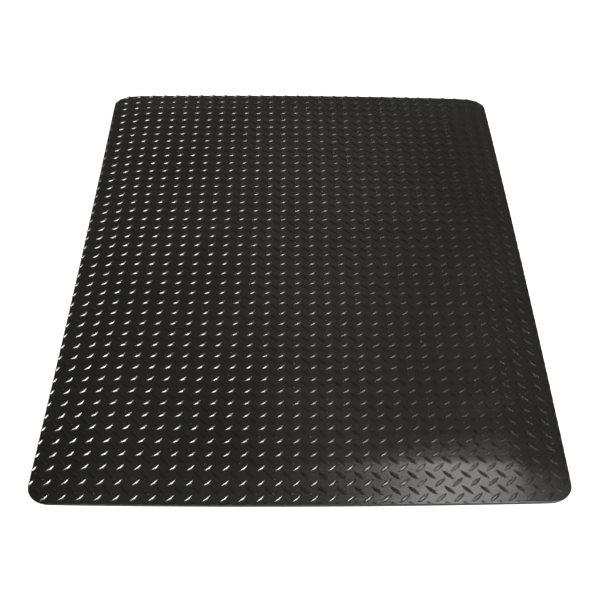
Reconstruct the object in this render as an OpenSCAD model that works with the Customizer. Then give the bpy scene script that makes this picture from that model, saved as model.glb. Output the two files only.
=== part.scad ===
// Diamond-tread anti-fatigue mat: a vinyl wear sheet laminated over a sponge core.
// The origin is the middle of the underside, +X across the mat, +Y along it, +Z up.

/* [Mat] */
// Overall width, across the mat
mat_w = 610; // [450:5:1220]
// Overall length, along the mat
mat_l = 914; // [600:1:1830]
// Overall thickness, from the floor to the crowns of the treads
mat_t = 9.5; // [8.5:0.1:13]
// Radius of the four corners, seen from above
corner_r = 28; // [14:1:45]

/* [Bevelled edge] */
// Height of the outer edge, over the treads
edge_h = 3.5; // [3.2:0.1:4.5]
// Width of the sloping border on all four sides
bevel_w = 60; // [40:1:90]
// Width of the solid vinyl rim that stands on the floor round the core
rim_w = 8; // [4:1:10]
// Radius of the core's four corners, seen from above
core_corner_r = 40; // [30:1:60]

/* [Layers] */
// Thickness of the wear sheet, treads included
sheet_t = 2.6; // [2:0.1:2.8]
// Thickness of the adhesive film between the wear sheet and the core
bond_t = 0.3; // [0.2:0.05:0.4]

/* [Colours] */
// Wear sheet
sheet_colour = "#211f1d"; // [#211f1d:Black, #4a4c4d:Grey]
// Sponge core
core_colour = "#2c2c2e"; // [#2c2c2e:Charcoal, #55565a:Grey]
// Adhesive film
bond_colour = "#b9a76a"; // [#b9a76a:Amber, #d9d9d4:Clear]

/* [Hidden] */
// Rise of the bevel for each millimetre inwards
slope = (mat_t - edge_h) / bevel_w;
// Plan of the flat middle, inside the bevels
flat_w = mat_w - 2 * bevel_w;
flat_l = mat_l - 2 * bevel_w;
// Plan of the core, inside the rim
core_w = mat_w - 2 * rim_w;
core_l = mat_l - 2 * rim_w;
// Smoothness of the rounded corners
$fn = 96;

// A rectangle with round corners, centred on the origin
module rounded_plan(w, l, r) {
  square([w - 2 * r, l], center = true);
  square([w, l - 2 * r], center = true);
  for (x = [-1, 1], y = [-1, 1])
    translate([x * (w / 2 - r), y * (l / 2 - r)]) circle(r = r);
}

// Section across a slab whose flat middle, at top_z, is flat wide, with a bevel on either side
function skived_section(flat, top_z) =
  let (run = top_z / slope)
  [
    [-flat / 2 - run, 0],
    [flat / 2 + run, 0],
    [flat / 2, top_z],
    [-flat / 2, top_z],
  ];

// A mound as high as top_z over the flat middle of the mat, whose bevels run down to the floor.
// The bevels turn the corners as parts of cones.
module skived_mound(top_z) {
  rotate([90, 0, 0])
    linear_extrude(flat_l, center = true) polygon(skived_section(flat_w, top_z));
  rotate([90, 0, 90])
    linear_extrude(flat_w, center = true) polygon(skived_section(flat_l, top_z));
  for (x = [-1, 1], y = [-1, 1])
    translate([x * flat_w / 2, y * flat_l / 2])
      cylinder(h = top_z, r1 = top_z / slope, r2 = 0);
}

// What its children have inside the wear sheet's rim
module inside_rim() {
  intersection() {
    children();
    linear_extrude(mat_t) rounded_plan(core_w, core_l, core_corner_r);
  }
}

// Vinyl sheet that wraps over the bevels and stands on the floor all round.
// It is as thick as the sheet measures over the treads, so its top is the level of their crowns.
module wear_sheet() {
  color(sheet_colour)
    difference() {
      intersection() {
        skived_mound(mat_t);
        linear_extrude(mat_t) rounded_plan(mat_w, mat_l, corner_r);
      }
      inside_rim() skived_mound(mat_t - sheet_t);
    }
}

// Adhesive film over the whole top of the core, bevels included
module bond_film() {
  color(bond_colour)
    inside_rim()
      difference() {
        skived_mound(mat_t - sheet_t);
        skived_mound(mat_t - sheet_t - bond_t);
      }
}

// Closed-cell sponge with skived edges, held inside the wear sheet's rim
module sponge_core() {
  color(core_colour)
    inside_rim() skived_mound(mat_t - sheet_t - bond_t);
}

wear_sheet();
bond_film();
sponge_core();
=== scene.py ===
"""Looks of a diamond-tread anti-fatigue mat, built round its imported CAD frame.

The vinyl wear sheet is one mesh: a floor of vinyl with every lens-shaped tread raised from
it, a rounded rim, and the hollow that holds the core. It is closed, apart from one stray sliver that
underside() explains. The bond film and the sponge core fill the hollow.
All lengths are in metres. +X is across the mat, +Y along it and +Z up.
"""

import math

import bpy
import numpy as np
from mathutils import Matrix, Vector
from mathutils.geometry import delaunay_2d_cdt


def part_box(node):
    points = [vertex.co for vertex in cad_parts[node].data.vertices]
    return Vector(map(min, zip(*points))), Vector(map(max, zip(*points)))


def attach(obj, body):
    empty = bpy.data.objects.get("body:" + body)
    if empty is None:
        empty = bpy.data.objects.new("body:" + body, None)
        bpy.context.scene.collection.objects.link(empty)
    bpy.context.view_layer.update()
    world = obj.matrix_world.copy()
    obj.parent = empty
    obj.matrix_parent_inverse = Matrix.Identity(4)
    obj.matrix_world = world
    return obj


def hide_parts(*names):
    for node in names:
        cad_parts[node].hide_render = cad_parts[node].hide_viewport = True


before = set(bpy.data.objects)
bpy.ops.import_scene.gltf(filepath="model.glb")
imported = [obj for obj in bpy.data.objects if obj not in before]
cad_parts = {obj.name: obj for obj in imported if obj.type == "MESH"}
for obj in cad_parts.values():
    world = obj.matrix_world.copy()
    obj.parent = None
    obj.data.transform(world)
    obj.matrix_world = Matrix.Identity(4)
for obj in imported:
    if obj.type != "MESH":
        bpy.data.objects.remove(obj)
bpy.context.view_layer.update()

MM = 0.001

# Sizes from the CAD frame
sheet_low, sheet_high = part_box("wear_sheet")
film_low, film_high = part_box("bond_film")
core_low, core_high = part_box("sponge_core")
WIDTH = sheet_high.x - sheet_low.x
LENGTH = sheet_high.y - sheet_low.y
CROWN_Z = sheet_high.z
SHEET_T = sheet_high.z - film_high.z
BOND_T = film_high.z - core_high.z
RIM_W = sheet_high.x - core_high.x

# Sizes that part.scad has and the frame's boxes don't show
CORNER_R = 28 * MM
CORE_CORNER_R = 40 * MM
EDGE_H = 3.5 * MM
BEVEL_W = 60 * MM
SLOPE = (CROWN_Z - EDGE_H) / BEVEL_W

# Treads: lens-shaped bars with a rounded section, leaning right and left by turns
TREAD_L = 18.2 * MM
TREAD_W = 4.9 * MM
TREAD_H = 1.1 * MM
# The ridge keeps its height for most of a tread's length: the higher this power, the blunter the ends
END_POWER = 8
# The section is a roof with a rounded ridge: 1 would be two flat flanks, and 2 a parabola
SECTION_POWER = 1.5
# Where the ridge's rounding ends, as a share of the half width
RIDGE_SHARE = 0.3
# Stations along a tread's ridge and along its outline, from -1 to 1
RIDGE_STATIONS = (-0.93, -0.78, -0.45, 0.0, 0.45, 0.78, 0.93)
SIDE_STATIONS = (-0.82, -0.45, 0.0, 0.45, 0.82)
# Where a tread's tip takes its normal, as the section has no width at the very end
TIP = 0.96
PITCHES_ACROSS = 30.4
PITCHES_ALONG = 42.5
PITCH = np.array([WIDTH / PITCHES_ACROSS, LENGTH / PITCHES_ALONG])
# Where the first right-leaning tread lies, in pitches from the left edge and from the near edge
FIRST_TREAD = np.array([0.02, 0.40])
HALF_PITCH = np.array([0.5, 0.5])
LEANS = {"right": 1, "left": -1}

# Rim
ROUND_R = 0.8 * MM
FOOT_R = 0.4 * MM
# How far the crease at the top of each bevel is rounded to either side
CREASE = 5 * MM

# How the soft mat lies: low swells along and across it, and edges that aren't quite straight
SWELLS = [
    # height, wavelength, direction in degrees from +X, phase in turns
    (0.20 * MM, 0.118, 84, 0.10),
    (0.16 * MM, 0.087, 97, 0.62),
    (0.16 * MM, 0.210, 62, 0.35),
    (0.12 * MM, 0.170, 12, 0.80),
    (0.10 * MM, 0.064, 103, 0.45),
]
# How far each edge lies from its straight place, to +X or +Y: at its start, its middle and its end
EDGE_SHIFTS = {
    "left": (-1.1 * MM, 1.0 * MM, -1.3 * MM),
    "right": (0.6 * MM, 1.9 * MM, -1.6 * MM),
    "near": (2.7 * MM, -0.4 * MM, 5.4 * MM),
    "far": (3.2 * MM, 4.5 * MM, -7.8 * MM),
}

# The share of the swells' height that is left at the very edge
EDGE_SWELL = 0.4

# Step for measuring slopes
STEP = 0.01 * MM
# Points of a plan that are nearer than this become one
SAME_POINT = 1e-7

# Fineness of the meshes: pieces in each rounded corner, and the rough distance between points
SKIN_CORNER_STEPS = 16
SKIN_STEP = 6 * MM
INNER_CORNER_STEPS = 10
HOLLOW_STEP = 12 * MM
FILM_STEP = 12 * MM
CORE_STEP = 8 * MM
# Degrees round the rim's top edge, from the upper face to the wall
RIM_DEGREES = (0, 30, 60, 90)
# How far in the foot's edge lies, as a share of its radius
FOOT_INSET = 0.7
# Triangles whose middle is within this share of a tread's half width belong to the tread
RAISED_SHARE = 0.9

# Stage and camera
FLOOR_SIZE = 12
FLOOR_PARTS = 24
FLOOR_GAP = 0.05 * MM
SENSOR_WIDTH = 36
LENS = 76.66
CAMERA_PLACE = (0, -1.4267, 1.0543)
CAMERA_DOWN = 38.21


# ---------------------------------------------------------------- surface of the wear sheet


def skived(x, y, drop, rounding=0.0):
    """Height of the bevelled slab, lowered by drop; the bevels turn the corners as cones."""
    past_x = np.abs(x) - (WIDTH / 2 - BEVEL_W)
    past_y = np.abs(y) - (LENGTH / 2 - BEVEL_W)
    out = np.hypot(np.clip(past_x, 0, None), np.clip(past_y, 0, None))
    out += np.clip(np.maximum(past_x, past_y), None, 0)
    down = (out + np.hypot(out, rounding)) / 2
    return CROWN_Z - drop - SLOPE * down


def swell(x, y):
    """Low waves of the soft mat, which die away towards its edges."""
    z = np.zeros_like(x)
    for height, wavelength, direction, phase in SWELLS:
        a = math.radians(direction)
        along = x * math.cos(a) + y * math.sin(a)
        z += height * np.sin(2 * math.pi * (along / wavelength + phase))
    inward = np.minimum(WIDTH / 2 - np.abs(x), LENGTH / 2 - np.abs(y))
    return z * np.clip(inward / BEVEL_W, EDGE_SWELL, 1)


def tread_origin(lean):
    """Middle of the first tread that leans this way."""
    start = np.array([-WIDTH / 2, -LENGTH / 2]) + FIRST_TREAD * PITCH
    return start if lean == "right" else start + HALF_PITCH * PITCH


def on_tread(x, y, lean):
    """Where points lie on the nearest tread of this lean: station from -1 to 1, and metres across it."""
    x0, y0 = tread_origin(lean)
    dx = x - x0
    dy = y - y0
    dx = dx - np.round(dx / PITCH[0]) * PITCH[0]
    dy = dy - np.round(dy / PITCH[1]) * PITCH[1]
    along = (dx + LEANS[lean] * dy) / math.sqrt(2)
    across = (dy - LEANS[lean] * dx) / math.sqrt(2)
    return along / (TREAD_L / 2), across


def half_width(station):
    """Half the width of a tread's foot."""
    return TREAD_W / 2 * (1 - station**2)


def ridge_height(station):
    return TREAD_H * (1 - station**END_POWER)


def tread_rise(x, y):
    """Height of the treads above the vinyl between them."""
    rise = np.zeros_like(x)
    for lean in LEANS:
        station, across = on_tread(x, y, lean)
        inside = np.abs(station) < 1
        k = station[inside]
        share = np.clip(np.abs(across[inside]) / half_width(k), 0, 1)
        rise[inside] += ridge_height(k) * (1 - share**SECTION_POWER)
    return rise


def tread_gradient(station, share, lean):
    """Slopes along X and Y of a tread's surface; share is 0 on its ridge, and 1 or -1 at its foot."""
    half = TREAD_L / 2
    h = ridge_height(station)
    w = half_width(station)
    h_change = -END_POWER * TREAD_H * station ** (END_POWER - 1) / half
    w_change = -TREAD_W * station / half
    fallen = np.abs(share) ** SECTION_POWER
    along = h_change * (1 - fallen) + SECTION_POWER * h * fallen * w_change / w
    across = -SECTION_POWER * h * np.sign(share) * np.abs(share) ** (SECTION_POWER - 1) / w
    turn = LEANS[lean]
    return np.stack([along - turn * across, turn * along + across], -1) / math.sqrt(2)


def floor_surface(x, y):
    """Height of the vinyl between the treads."""
    return skived(x, y, TREAD_H, CREASE) + swell(x, y)


def gradient(surface, x, y):
    """Slopes of a height function along X and along Y."""
    gx = surface(x + STEP, y) - surface(x - STEP, y)
    gy = surface(x, y + STEP) - surface(x, y - STEP)
    return np.stack([gx, gy], 1) / (2 * STEP)


def edge_shift(edge, station):
    """How far an edge lies from its straight place, at a station from -1 to 1 along it."""
    start, middle, end = EDGE_SHIFTS[edge]
    return middle + (end - start) / 2 * station + ((start + end) / 2 - middle) * station**2


def lie(points):
    """Moves points from the straight plan to the way the soft mat lies on the floor."""
    out = points.copy()
    u = 2 * points[:, 0] / WIDTH
    v = 2 * points[:, 1] / LENGTH
    out[:, 0] += (edge_shift("left", v) * (1 - u) + edge_shift("right", v) * (1 + u)) / 2
    out[:, 1] += (edge_shift("near", u) * (1 - v) + edge_shift("far", u) * (1 + v)) / 2
    return out


# ---------------------------------------------------------------- plan shapes


def rounded_plan(inset, radius, corner_steps, side_step):
    """Points of the mat's plan moved inwards by inset, anticlockwise, with corners of this radius."""
    r = radius
    points = []
    for quarter, (sx, sy) in enumerate([(1, 1), (-1, 1), (-1, -1), (1, -1)]):
        cx = sx * (WIDTH / 2 - inset - r)
        cy = sy * (LENGTH / 2 - inset - r)
        for i in range(corner_steps + 1):
            a = math.pi / 2 * (quarter + i / corner_steps)
            points.append((cx + r * math.cos(a), cy + r * math.sin(a)))
    out = []
    for a, b in zip(points, points[1:] + points[:1]):
        pieces = max(1, round(math.dist(a, b) / side_step))
        out += [tuple(np.array(a) + (np.array(b) - a) * k / pieces) for k in range(pieces)]
    return np.array(out)


def outward(points):
    """Unit vectors that point straight out of the rounded plan."""
    core = np.array([WIDTH / 2 - CORNER_R, LENGTH / 2 - CORNER_R])
    past = np.maximum(np.abs(points) - core, 0)
    flat = past.max(axis=1) <= 0
    past[flat] = 1
    n = np.sign(points) * past
    return n / np.linalg.norm(n, axis=1)[:, None]


def inside_convex(points, outline):
    """Which points lie inside a convex outline that runs anticlockwise."""
    keep = np.ones(len(points), bool)
    for a, b in zip(outline, np.roll(outline, -1, axis=0)):
        edge = b - a
        keep &= edge[0] * (points[:, 1] - a[1]) - edge[1] * (points[:, 0] - a[0]) >= 0
    return keep


def tread_lines():
    """Lines along a tread, as (along, across) points: foot, flank, ridge, flank and foot."""
    lines = []
    for share in (-1, -RIDGE_SHARE, 0, RIDGE_SHARE, 1):
        stations = RIDGE_STATIONS if share == 0 else SIDE_STATIONS
        lines.append([(k * TREAD_L / 2, share * half_width(k)) for k in stations])
    return lines


def turned(points, lean):
    """(along, across) points of a tread as (x, y) offsets from its middle."""
    s = LEANS[lean]
    along = points[:, 0]
    across = points[:, 1]
    return np.stack([along - s * across, s * along + across], 1) / math.sqrt(2)


def triangulate(points, edges):
    """Constrained Delaunay triangles of points in a plane."""
    found = delaunay_2d_cdt([Vector(p) for p in points], edges, [], 0, SAME_POINT, False)
    return np.array([v[:] for v in found[0]]), np.array(found[2])


def loop_edges(first, count):
    """Edges of a closed loop of points that starts at index first."""
    return [(first + i, first + (i + 1) % count) for i in range(count)]


# ---------------------------------------------------------------- meshes


def tread_field(outline):
    """The plan of the upper face: triangles that follow every tread's foot, flanks and ridge."""
    pattern = [(-TREAD_L / 2, 0.0), (TREAD_L / 2, 0.0)]
    pattern_edges = []
    for line in tread_lines():
        first = len(pattern)
        pattern += line
        chain = [0, *range(first, len(pattern)), 1]
        pattern_edges += zip(chain, chain[1:])
    pattern = np.array(pattern)
    points = [outline]
    edges = loop_edges(0, len(outline))
    count = len(outline)
    reach = TREAD_L / 2
    for lean in LEANS:
        origin = tread_origin(lean)
        shape = turned(pattern, lean)
        for column in range(-1, math.ceil(PITCHES_ACROSS) + 1):
            for row in range(-1, math.ceil(PITCHES_ALONG) + 1):
                middle = origin + PITCH * (column, row)
                if abs(middle[0]) > WIDTH / 2 + reach or abs(middle[1]) > LENGTH / 2 + reach:
                    continue
                points.append(middle + shape)
                edges += [(count + a, count + b) for a, b in pattern_edges]
                count += len(pattern)
    flat, triangles = triangulate(np.concatenate(points), edges)
    middles = flat[triangles].mean(axis=1)
    triangles = triangles[inside_convex(middles, outline)]
    used, triangles = np.unique(triangles, return_inverse=True)
    return flat[used], triangles.reshape(-1, 3)


def border(flat, triangles):
    """Indices of the points on the outer border, anticlockwise."""
    sides = np.concatenate([triangles[:, [0, 1]], triangles[:, [1, 2]], triangles[:, [2, 0]]])
    sides, uses = np.unique(np.sort(sides, axis=1), axis=0, return_counts=True)
    rim = np.unique(sides[uses == 1])
    return rim[np.argsort(np.arctan2(flat[rim, 1], flat[rim, 0]))]


def strip(lower, upper):
    """Triangles between two closed loops of the same number of points."""
    a, b = lower, np.roll(lower, -1)
    c, d = upper, np.roll(upper, -1)
    return np.concatenate([np.stack([a, b, c], 1), np.stack([b, d, c], 1)])


def mesh_object(name, points, triangles, normals=None):
    """An object with smooth faces, and with the given normals at its faces' corners."""
    mesh = bpy.data.meshes.new(name)
    mesh.from_pydata(points.tolist(), [], triangles.tolist())
    mesh.polygons.foreach_set("use_smooth", np.ones(len(mesh.polygons), bool))
    if normals is not None:
        mesh.normals_split_custom_set(normals.reshape(-1, 3).tolist())
    made = bpy.data.objects.new(name, mesh)
    bpy.context.scene.collection.objects.link(made)
    return made


def face_normals(points, triangles):
    """Flat normals for the corners of triangles."""
    a, b, c = (points[triangles[:, i]] for i in range(3))
    n = np.cross(b - a, c - a)
    n /= np.linalg.norm(n, axis=1)[:, None]
    return np.repeat(n[:, None, :], 3, axis=1)


def top_normals(flat, triangles):
    """Normals of the upper face at its triangles' corners, with a crisp edge at each tread's foot."""
    corners = gradient(floor_surface, flat[:, 0], flat[:, 1])[triangles]
    middle = flat[triangles].mean(axis=1)
    for lean in LEANS:
        station, across = on_tread(middle[:, 0], middle[:, 1], lean)
        # The floor's triangles reach a little way inside the outline's curve, but not this far
        raised = (np.abs(station) < 1) & (np.abs(across) < RAISED_SHARE * half_width(station))
        middle_share = (across[raised] / half_width(station[raised]))[:, None]
        x, y = np.moveaxis(flat[triangles[raised]], -1, 0)
        station, across = on_tread(x, y, lean)
        at_tip = np.abs(station) > TIP
        station = np.clip(station, -TIP, TIP)
        share = np.clip(across / half_width(station), -1, 1)
        share = np.where(at_tip, middle_share, share)
        corners[raised] += tread_gradient(station, share, lean)
    n = np.concatenate([-corners, np.ones(corners.shape[:2] + (1,))], axis=2)
    return n / np.linalg.norm(n, axis=2)[:, :, None]


def wear_sheet_mesh():
    """The vinyl sheet as one skin: upper face, rounded rim, wall, foot and hollow."""
    outline = rounded_plan(ROUND_R, CORNER_R - ROUND_R, SKIN_CORNER_STEPS, SKIN_STEP)
    flat, top = tread_field(outline)
    x, y = flat[:, 0], flat[:, 1]
    points = [np.column_stack([flat, floor_surface(x, y) + tread_rise(x, y)])]
    triangles = [top]
    normals = [top_normals(flat, top)]
    rim = border(flat, top)
    out = outward(flat[rim])
    top_z = points[0][rim, 2]
    n = len(rim)

    # Plan, height and normal of each loop of the rim, from its top to its foot
    up = np.column_stack([np.zeros((n, 2)), np.ones(n)])
    side = np.column_stack([out, np.zeros(n)])
    wall = flat[rim] + out * ROUND_R
    loops = []
    for degrees in RIM_DEGREES:
        c, s = math.cos(math.radians(degrees)), math.sin(math.radians(degrees))
        loops.append((flat[rim] + out * ROUND_R * s, top_z - ROUND_R * (1 - c), up * c + side * s))
    loops.append((wall, np.full(n, FOOT_R), side))
    loops.append((wall - out * FOOT_R * FOOT_INSET, np.zeros(n), (side - up) / math.sqrt(2)))

    last = rim
    count = len(flat)
    for (_, _, last_normal), (plan, z, normal) in zip(loops, loops[1:]):
        loop = np.arange(count, count + n)
        band = strip(np.arange(n), np.arange(n, 2 * n))
        points.append(np.column_stack([plan, z]))
        triangles.append(np.concatenate([loop, last])[band])
        normals.append(np.concatenate([normal, last_normal])[band])
        count += n
        last = loop

    under, closing = underside(loops[-1][0])
    points.append(under)
    closing += count - n
    triangles.append(closing)
    all_points = np.concatenate(points)
    normals.append(face_normals(all_points, closing))
    return all_points, np.concatenate(triangles), np.concatenate(normals)


def underside(foot):
    """The rim's flat foot and the hollow inside it.

    Returns the hollow's points, and triangles whose indices count the foot's loop first. The
    triangles fill the points' convex hull, and only those inside the hollow are dropped, so one
    sliver stays just outside the foot at a corner. Dropping those outside the foot would clear it.
    """
    inner = rounded_plan(RIM_W, CORE_CORNER_R, INNER_CORNER_STEPS, HOLLOW_STEP)
    n = len(inner)
    first = len(foot)
    plan = np.concatenate([foot, inner])
    flat, ring = triangulate(plan, loop_edges(0, first) + loop_edges(first, n))
    ring = ring[~inside_convex(flat[ring].mean(axis=1), inner)][:, ::-1]
    reach_x = WIDTH / 2 - BEVEL_W
    reach_y = LENGTH / 2 - BEVEL_W
    middle = [(sx * reach_x, sy * reach_y) for sx, sy in [(1, 1), (-1, 1), (-1, -1), (1, -1)]]
    roof_plan = np.concatenate([inner, middle])
    roof_z = skived(roof_plan[:, 0], roof_plan[:, 1], SHEET_T)
    _, roof = triangulate(roof_plan, loop_edges(0, n) + loop_edges(n, 4))
    roof = roof[:, ::-1] + first + n
    wall = strip(np.arange(first, first + n), np.arange(first + n, first + 2 * n))[:, ::-1]
    points = np.concatenate([
        np.column_stack([inner, np.zeros(n)]),
        np.column_stack([roof_plan, roof_z]),
    ])
    return points, np.concatenate([ring, wall, roof])


def layer_mesh(drop_top, drop_bottom, step):
    """A layer of the hollow between two depths below the crowns.

    Without drop_bottom it reaches the floor.
    """
    outline = rounded_plan(RIM_W, CORE_CORNER_R, INNER_CORNER_STEPS, step)
    n = len(outline)
    xs = np.arange(-WIDTH / 2 + RIM_W + step, WIDTH / 2 - RIM_W - step / 2, step)
    ys = np.arange(-LENGTH / 2 + RIM_W + step, LENGTH / 2 - RIM_W - step / 2, step)
    grid = np.array([(a, b) for a in xs for b in ys])
    clear = rounded_plan(RIM_W + step / 2, CORE_CORNER_R, INNER_CORNER_STEPS, step)
    grid = grid[inside_convex(grid, clear)]
    plan, faces = triangulate(np.concatenate([outline, grid]), loop_edges(0, n))
    x, y = plan[:, 0], plan[:, 1]
    upper = np.column_stack([plan, skived(x, y, drop_top)])
    lower_z = np.zeros(len(plan)) if drop_bottom is None else skived(x, y, drop_bottom)
    lower = np.column_stack([plan, lower_z])
    m = len(plan)
    loop = np.arange(n)
    triangles = np.concatenate([faces, faces[:, ::-1] + m, strip(loop + m, loop)])
    return np.concatenate([upper, lower]), triangles


# ---------------------------------------------------------------- materials


def material(name, **values):
    """A material with a Principled shader, and its nodes and links."""
    made = bpy.data.materials.new(name)
    made.use_nodes = True
    nodes = made.node_tree.nodes
    shader = nodes["Principled BSDF"]
    for socket, value in values.items():
        shader.inputs[socket.replace("_", " ")].default_value = value
    return made, nodes, made.node_tree.links, shader


def noise(nodes, links, coordinates, scale, detail=2.0, roughness=0.5):
    made = nodes.new("ShaderNodeTexNoise")
    made.inputs["Scale"].default_value = scale
    made.inputs["Detail"].default_value = detail
    made.inputs["Roughness"].default_value = roughness
    links.new(coordinates, made.inputs["Vector"])
    return made.outputs["Fac"]


def mapped(nodes, links, value, low, high, to_low, to_high):
    made = nodes.new("ShaderNodeMapRange")
    made.inputs["From Min"].default_value = low
    made.inputs["From Max"].default_value = high
    made.inputs["To Min"].default_value = to_low
    made.inputs["To Max"].default_value = to_high
    links.new(value, made.inputs["Value"])
    return made.outputs["Result"]


def vinyl_material():
    made, nodes, links, shader = material("vinyl_black", IOR=1.52)
    place = nodes.new("ShaderNodeTexCoord").outputs["Object"]
    clouds = noise(nodes, links, place, 6.0, 3.0)
    grain = noise(nodes, links, place, 1500.0, 2.0)
    ramp = nodes.new("ShaderNodeValToRGB")
    ramp.color_ramp.elements[0].position = 0.3
    ramp.color_ramp.elements[0].color = (0.0034, 0.0028, 0.0021, 1)
    ramp.color_ramp.elements[1].position = 0.75
    ramp.color_ramp.elements[1].color = (0.0050, 0.0043, 0.0034, 1)
    links.new(clouds, ramp.inputs["Fac"])
    links.new(ramp.outputs["Color"], shader.inputs["Base Color"])
    rough = mapped(nodes, links, clouds, 0.3, 0.7, 0.22, 0.26)
    links.new(rough, shader.inputs["Roughness"])
    bump = nodes.new("ShaderNodeBump")
    bump.inputs["Strength"].default_value = 0.03
    bump.inputs["Distance"].default_value = 0.02 * MM
    links.new(grain, bump.inputs["Height"])
    links.new(bump.outputs["Normal"], shader.inputs["Normal"])
    return made


def sponge_material():
    made, nodes, links, shader = material("sponge_charcoal", Roughness=0.95)
    place = nodes.new("ShaderNodeTexCoord").outputs["Object"]
    shader.inputs["Base Color"].default_value = (0.03, 0.03, 0.032, 1)
    cells = nodes.new("ShaderNodeTexVoronoi")
    cells.inputs["Scale"].default_value = 900.0
    links.new(place, cells.inputs["Vector"])
    bump = nodes.new("ShaderNodeBump")
    bump.inputs["Strength"].default_value = 0.6
    bump.inputs["Distance"].default_value = 0.3 * MM
    links.new(cells.outputs["Distance"], bump.inputs["Height"])
    links.new(bump.outputs["Normal"], shader.inputs["Normal"])
    return made


def film_material():
    made, nodes, links, shader = material("bond_adhesive", Roughness=0.3)
    place = nodes.new("ShaderNodeTexCoord").outputs["Object"]
    ramp = nodes.new("ShaderNodeValToRGB")
    ramp.color_ramp.elements[0].color = (0.40, 0.31, 0.10, 1)
    ramp.color_ramp.elements[1].color = (0.55, 0.46, 0.20, 1)
    links.new(noise(nodes, links, place, 40.0, 4.0), ramp.inputs["Fac"])
    links.new(ramp.outputs["Color"], shader.inputs["Base Color"])
    return made


# ---------------------------------------------------------------- pieces


def make_piece(name, node, points, triangles, normals, looks):
    piece = mesh_object(name, lie(points), triangles, normals)
    piece.data.materials.append(looks)
    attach(piece, "root")
    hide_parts(node)
    return piece


sheet_points, sheet_triangles, sheet_normals = wear_sheet_mesh()
wear_sheet = make_piece("vinyl_wear_sheet", "wear_sheet",
                        sheet_points, sheet_triangles, sheet_normals, vinyl_material())

film_points, film_triangles = layer_mesh(SHEET_T, SHEET_T + BOND_T, FILM_STEP)
make_piece("adhesive_film", "bond_film",
           film_points, film_triangles, None, film_material())

core_points, core_triangles = layer_mesh(SHEET_T + BOND_T, None, CORE_STEP)
sponge_core = make_piece("closed_cell_core", "sponge_core",
                         core_points, core_triangles, None, sponge_material())


# ---------------------------------------------------------------- floor, light and camera


def make_floor():
    bpy.ops.mesh.primitive_grid_add(
        size=FLOOR_SIZE,
        x_subdivisions=FLOOR_PARTS,
        y_subdivisions=FLOOR_PARTS,
        location=(0, 0, -FLOOR_GAP),
    )
    floor = bpy.context.object
    floor.name = "studio_floor"
    pale = material("pale_floor", Base_Color=(0.85, 0.85, 0.85, 1), Roughness=0.9)[0]
    floor.data.materials.append(pale)


def make_world():
    world = bpy.data.worlds.new("studio")
    bpy.context.scene.world = world
    world.use_nodes = True
    world.node_tree.nodes["Background"].inputs["Color"].default_value = (0.15, 0.14, 0.125, 1)


def area_light(name, location, target, size, power, colour=(1, 1, 1)):
    data = bpy.data.lights.new(name, "AREA")
    data.shape = "RECTANGLE"
    data.size, data.size_y = size
    data.energy = power
    data.color = colour
    light = bpy.data.objects.new(name, data)
    light.location = location
    light.rotation_euler = (Vector(target) - Vector(location)).to_track_quat("-Z", "Y").to_euler()
    bpy.context.scene.collection.objects.link(light)


def make_camera():
    data = bpy.data.cameras.new("camera")
    data.lens = LENS
    data.sensor_width = SENSOR_WIDTH
    camera = bpy.data.objects.new("camera", data)
    camera.location = CAMERA_PLACE
    camera.rotation_euler = (math.radians(90 - CAMERA_DOWN), 0, 0)
    bpy.context.scene.collection.objects.link(camera)
    bpy.context.scene.camera = camera


make_floor()
make_world()
area_light("main_light", (2.60, 0.40, 7.60), (0, 0, 0), (2.2, 2.8), 1150, (1, 0.98, 0.96))
area_light("ceiling_panel", (-0.2, -1.2, 3.4), (-0.2, -1.2, 0), (3.0, 2.2), 16, (1, 0.97, 0.93))
area_light("fill_behind_camera", (0, -2.8, 2.2), (0, 0, 0), (2.5, 1.2), 5)
area_light("far_strip", (0.12, 3.0, 2.6), (0.12, 0, 2.6), (0.7, 2.4), 0.9, (1, 0.97, 0.88))
area_light("near_edge_glow", (0.40, 0.57, 1.6), (0.2, -0.42, 0), (0.2, 0.2), 2.6)
make_camera()
bpy.context.scene.view_settings.view_transform = "Standard"
